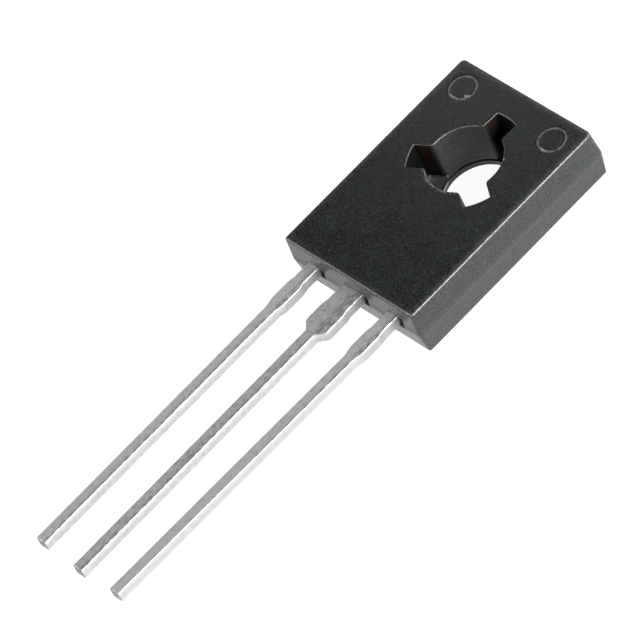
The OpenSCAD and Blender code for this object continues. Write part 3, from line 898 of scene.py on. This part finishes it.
def epoxy_material():
    """Dark filled epoxy with its grain and marks. The hole's inside and the
    lead pockets are rougher and shine less, keyways and pockets are darker
    with painted shade, the hole's foot has a painted highlight line, and the
    lead end is a little rougher than the rest. The export drops the link to
    the specular level."""
    material, t, shader = new_material("epoxy_compound")
    place = t.place()
    speckle = placed_group(t, SPECKLE, Scale=EPOXY_GRAIN, Cloud_Share=0.15)["Mask"]
    grains = t.ramp(speckle, 0.3, 1.0)
    colour = marks_and_highlights(t, place, filler_grain(t, place, grains))
    x, y, z = t.axes(place)
    inside, keyways, pockets = recesses(t, place)
    # Painted shade in the keyways, darkest at their closed ends.
    keyway_end = t.ramp_mm(t.away(x, y), KEYWAY_REACH - 0.17, KEYWAY_REACH - 0.04)
    keyway_shade = t.colour(keyway_end, (0.017, 0.010, 0.008), (0.002, 0.003, 0.002))
    colour = t.paint(colour, keyways, 0.95, keyway_shade)
    # Painted highlight: a pale line on the hole's foot, down and to the left.
    foot_highlight = t.product(placed_foot_arc(t, 1.44, 1.54, 1.64, 1.68),
                     t.ramp_mm(z, SEAT_HEIGHT + 0.08, SEAT_HEIGHT + 0.04), inside)
    colour = t.paint(colour, foot_highlight, 0.6, FOOT_HIGHLIGHT_TONE)
    # Painted shade: the lead pockets almost black.
    colour = t.paint(colour, pockets, 0.97, POCKET_SHADE)
    t.link(colour, shader.inputs["Base Color"])
    shader.inputs["IOR"].default_value = EPOXY_IOR
    bore = t.product(inside, t.ramp(grains, 0, 1, 0.38, 0.12))
    hidden = t.math("MAXIMUM", t.math("MAXIMUM", keyways, pockets), bore)
    t.link(t.ramp(hidden, 0, 1, 0.5, 0.06), shader.inputs["Specular IOR Level"])
    lead_end = t.ramp_mm(y, BODY_BOTTOM + 0.03, BODY_BOTTOM + 0.01)
    rough = t.math("ADD", t.ramp(speckle, 0, 1, 0.27, 0.36),
                   t.product(t.math("MAXIMUM", inside, pockets), 0.3))
    t.link(t.math("ADD", rough, t.product(lead_end, 0.1)), shader.inputs["Roughness"])
    normal = t.bump(t.noise(place, 2600.0, 3.0, 0.55), 5e-6, 0.7)
    t.link(t.bump(t.noise(place, 26000.0, 2.0, 0.6), 2e-6, 0.9, normal),
           shader.inputs["Normal"])
    return material


def tin_surface(t, shader, line_scale, stretch, grain_scale, cloud_share, rough, depth):
    """Links a tin finish's roughness and its raised lines and grains, and
    gives back the masks of its dullness and grains for the colour."""
    marks = placed_group(t, DRAW_LINES, Scale=line_scale, Stretch=stretch)
    grains = placed_group(t, SPECKLE, Scale=grain_scale, Cloud_Share=cloud_share)["Mask"]
    finish = placed_group(t, TIN_DULLNESS, Patches=marks["Patches"], Lines=marks["Lines"],
                          Grains=grains, Rough_Low=rough[0], Rough_High=rough[1])
    t.link(finish["Roughness"], shader.inputs["Roughness"])
    normal = t.bump(marks["Lines"], depth, 0.7)
    t.link(t.bump(grains, depth, 0.5, normal), shader.inputs["Normal"])
    return finish["Dullness"], grains


def lead_material():
    """Hot-dipped tin. The front is mottled, paler on the outer leads, with
    dark streaks on the right part of each lead. The sides are evener, with a
    grey band along them, painted shade beside the body and on the right lead,
    and a broken painted highlight along the front rim near the body. The cut
    end shows warm copper grey."""
    material, t, shader = new_material("lead_tin")
    place = t.place()
    shader.inputs["Metallic"].default_value = 0.72
    dull, grains = tin_surface(t, shader, 16000.0, 0.3, 24000.0, 0.15, (0.42, 0.6), 3e-6)
    colour = t.colour(dull, (0.76, 0.77, 0.77), (0.24, 0.25, 0.25))
    x, y, z = t.axes(place)
    front = t.ramp_mm(z, COATED_FRONT - 0.035, COATED_FRONT - 0.012)
    sides = t.math("SUBTRACT", 1.0, front)
    band = t.product(t.ramp_mm(z, COATED_BACK + 0.36, COATED_BACK + 0.28),
                     t.ramp_mm(z, COATED_BACK + 0.06, COATED_BACK + 0.16))
    mottle = t.ramp(t.noise(place, 7000.0, 3.0, 0.7), 0.4, 0.6)
    outer = t.ramp_mm(t.math("ABSOLUTE", x), 0.9, 1.4)
    right = t.ramp_mm(x, 1.0, 1.2)
    lead_middle = t.product(t.math("ROUND", t.math("DIVIDE", x, LEAD_PITCH * MM)),
                            LEAD_PITCH * MM)
    beside = t.ramp_mm(t.math("SUBTRACT", x, lead_middle), 0.04, 0.2)
    streaks = t.ramp(t.noise(t.stretch(place, 1.0, 0.4, 1.0), 9000.0, 3.0, 0.6), 0.4, 0.55)
    near = t.ramp_mm(y, BODY_BOTTOM - 2.3, BODY_BOTTOM - 1.7)
    rim = t.product(t.ramp_mm(z, COATED_FRONT - 0.06, COATED_FRONT - 0.04),
                    t.ramp_mm(z, COATED_FRONT - 0.008, COATED_FRONT - 0.02))
    broken = t.ramp(t.noise(place, 4200.0, 2.0, 0.6), 0.4, 0.5)
    cut_end = t.add("Attribute", attribute_name="edge").outputs["Fac"]
    for mask, share, tone in (
        (sides, 0.55, (0.58, 0.585, 0.58)),
        (band, 0.32, (0.38, 0.385, 0.38)),
        (t.product(mottle, front), 0.22, PALE_TIN),
        (t.product(front, outer), 0.3, PALE_TIN),
        # Painted shade on the right lead's sides.
        (t.product(sides, right), 0.42, (0.44, 0.44, 0.44)),
        (t.product(beside, front, streaks), 0.5, (0.12, 0.125, 0.125)),
        # Painted shade on the sides beside the body.
        (t.product(near, sides), 0.45, (0.36, 0.34, 0.345)),
        # Painted highlight: a broken bright line along the front rim near the body.
        (t.product(rim, near, broken), 1.0, (1.0, 1.0, 1.0)),
        (cut_end, 0.85, COPPER_TONE),
    ):
        colour = t.paint(colour, mask, share, tone)
    t.link(colour, shader.inputs["Base Color"])
    return material


def tab_material():
    """Bare tinned tab, under a brown film of moulding flash wherever the
    mould's core pressed: in the hole and on its seat. The film is painted
    paler in the keyways, as painted light on floors that lie in shade, and it
    is left off on the foot arc, so that bare tin shows there as a painted
    highlight."""
    material, t, shader = new_material("tab_tin")
    place = t.place()
    dull, grains = tin_surface(t, shader, 12000.0, 0.04, 18000.0, 0.3, (0.3, 0.45), 1.5e-6)
    tin = t.colour(dull, (0.68, 0.67, 0.66), (0.4, 0.39, 0.38))
    x, y, z = t.axes(place)
    # Painted highlight: the film is left off on the foot arc, so bare tin shows there.
    bare_foot_highlight = t.product(placed_foot_arc(t, 1.42, 1.52, 1.62, 1.66),
                       t.ramp_mm(z, SEAT_HEIGHT - 0.08, SEAT_HEIGHT - 0.04))
    film = t.product(t.ramp_mm(z, 0.005, 0.03), t.ramp(bare_foot_highlight, 0, 1, 1.0, 0.1))
    brown = t.colour(grains, (0.012, 0.012, 0.010), (0.045, 0.040, 0.034))
    # Painted light: paler film on the keyway floors, which lie in shade.
    keyway_light = t.colour(grains, (0.09, 0.095, 0.085), (0.24, 0.245, 0.225))
    in_keyways = t.ramp_mm(t.away(x, y), KEYED_HOLE_RADIUS + 0.03, KEYED_HOLE_RADIUS + 0.09)
    t.link(t.colour(film, tin, t.colour(in_keyways, brown, keyway_light)),
           shader.inputs["Base Color"])
    t.link(t.ramp(film, 0, 1, 0.9, 0.15), shader.inputs["Metallic"])
    return material


def plain_grain_material(name, low, high, metallic, rough_low, rough_high, scale):
    """A fine-grained finish for the pieces inside the body."""
    material, t, shader = new_material(name)
    shader.inputs["Metallic"].default_value = metallic
    speckle = placed_group(t, SPECKLE, Scale=scale, Cloud_Share=0.3)
    t.link(t.colour(speckle["Mask"], low, high), shader.inputs["Base Color"])
    t.link(t.ramp(speckle["Cloud"], 0, 1, rough_low, rough_high),
           shader.inputs["Roughness"])
    t.link(t.bump(speckle["Mask"], 1e-6, 0.4), shader.inputs["Normal"])
    return material


epoxy = epoxy_material()
lead_tin, tab_tin = lead_material(), tab_material()
silicon = plain_grain_material("silicon_grey", (0.10, 0.11, 0.14), (0.16, 0.17, 0.21),
                               0.6, 0.15, 0.25, 40000.0)
die_solder = plain_grain_material("solder_grey", (0.40, 0.40, 0.41), (0.55, 0.55, 0.56),
                                  1.0, 0.35, 0.5, 30000.0)
aluminium = plain_grain_material("wire_aluminium", (0.70, 0.71, 0.72), (0.86, 0.87, 0.88),
                                 1.0, 0.22, 0.35, 45000.0)

# ---------- pieces on the frame ----------

for piece, material, nodes, slot in (
    (body, epoxy, ("moulded_body",), "moulding_compound"),
    (tab, tab_tin, ("collector_frame",), "tinned_copper"),
    (middle_lead, lead_tin, ("collector_frame",), "tinned_copper"),
    (left_lead, lead_tin, ("emitter_lead",), "tinned_copper"),
    (right_lead, lead_tin, ("base_lead",), "tinned_copper"),
):
    piece.data.materials.append(material)
    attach(piece, "root")
    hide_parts(*nodes)

for node, material in (
    ("transistor_die", silicon),
    ("die_solder", die_solder),
    ("emitter_wire", aluminium),
    ("base_wire", aluminium),
):
    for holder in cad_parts[node].material_slots:
        holder.material = material

# ---------- floor, lights, camera ----------


def white_floor():
    """A large level sheet under the part, in rings from its middle out.

    To the camera and in reflections it is mostly self-lit white with a
    faint shadow, and for all other light it is a plain white sheet.
    """
    turns = np.radians(np.arange(0, 360, 7.5))
    rays = np.column_stack([np.cos(turns), np.sin(turns)])
    radii = np.array([5, 20, 60, 200, 800, 4000])
    rings = np.array([level_ring(r * rays, FLOOR_HEIGHT) for r in radii])
    piece = tube_mesh("floor", rings[:, ::-1], filled=(True, False))
    material, t, shader = new_material("floor_white")
    output = material.node_tree.nodes["Material Output"]
    material.node_tree.nodes.remove(shader)
    paths = t.add("LightPath")
    seen = t.math("MAXIMUM", paths.outputs["Is Camera Ray"], paths.outputs["Is Glossy Ray"])
    seen = t.math("MAXIMUM", seen, paths.outputs["Is Transmission Ray"])
    glow = t.add("Emission")
    t.feed(glow, Color=(1, 1, 1, 1), Strength=FLOOR_GLOW)
    thin = t.add("BsdfDiffuse")
    t.feed(thin, Color=(FLOOR_SHADOW,) * 3 + (1,))
    both = t.add("AddShader")
    t.link(glow.outputs[0], both.inputs[0])
    t.link(thin.outputs[0], both.inputs[1])
    plain = t.add("BsdfDiffuse")
    t.feed(plain, Color=(FLOOR_WHITE,) * 3 + (1,))
    choice = t.add("MixShader")
    t.link(seen, choice.inputs[0])
    t.link(plain.outputs[0], choice.inputs[1])
    t.link(both.outputs[0], choice.inputs[2])
    t.link(choice.outputs[0], output.inputs["Surface"])
    piece.data.materials.append(material)
    return piece


def soft_sky(horizon, overhead):
    """A world that is pale at the horizon and greyer overhead."""
    world = bpy.data.worlds.new("studio")
    world.use_nodes = True
    bpy.context.scene.world = world
    t = Tree(world.node_tree)
    background = world.node_tree.nodes["Background"]
    up = t.axes(t.add("TexCoord").outputs["Generated"])[2]
    lift = t.ramp(up, 0.1, 0.4)
    t.link(t.colour(lift, (horizon,) * 3, (overhead,) * 3), background.inputs["Color"])
    background.inputs["Strength"].default_value = 1.0


def soft_box(name, direction, distance, size, radiance):
    """A square lamp that faces the part from one direction. Its power is its
    radiance times pi times its area."""
    lamp = bpy.data.lights.new(name, "AREA")
    lamp.shape = "SQUARE"
    lamp.size = size
    lamp.energy = radiance * math.pi * size**2
    holder = bpy.data.objects.new(name, lamp)
    bpy.context.scene.collection.objects.link(holder)
    away = np.array(direction, float)
    away /= np.linalg.norm(away)
    side = np.cross((0, 0, 1), away)
    side /= np.linalg.norm(side)
    turn = np.eye(4)
    turn[:3, 0], turn[:3, 1], turn[:3, 2] = side, np.cross(away, side), away
    turn[:3, 3] = away * distance
    holder.matrix_world = Matrix(turn.tolist())
    holder.visible_camera = False


floor = white_floor()
soft_sky(1.1, 0.06)
# Name, direction, distance and size in metres, radiance.
for lamp in (
    ("key", (0.93, 0.15, 0.3), 0.6, 0.4, 9.5),
    ("edge_light", (0.79, 0.27, 0.54), 0.6, 0.12, 30.0),
    ("lead_fill", (-0.62, -0.45, 0.64), 0.6, 0.3, 4.8),
    ("face_fill", (-0.644, 0.367, 0.671), 0.06, 0.012, 1.1),
):
    soft_box(*lamp)


def place_camera():
    """The camera's rows are its right, up and backward directions."""
    rows = ((0.665253, 0.677505, -0.313729),
            (-0.417418, 0.685894, 0.59608),
            (0.619032, -0.265587, 0.739096))
    place = (176.2956, -84.2532, 212.2308)
    turn = np.eye(4)
    turn[:3, :3] = np.array(rows).T
    turn[:3, 3] = np.array(place) * MM
    data = bpy.data.cameras.new("camera")
    data.sensor_width = 36
    data.lens = 412.437
    data.clip_start, data.clip_end = 0.01, 20
    camera = bpy.data.objects.new("camera", data)
    bpy.context.scene.collection.objects.link(camera)
    camera.matrix_world = Matrix(turn.tolist())
    bpy.context.scene.camera = camera


place_camera()
bpy.context.scene.view_settings.view_transform = "Standard"
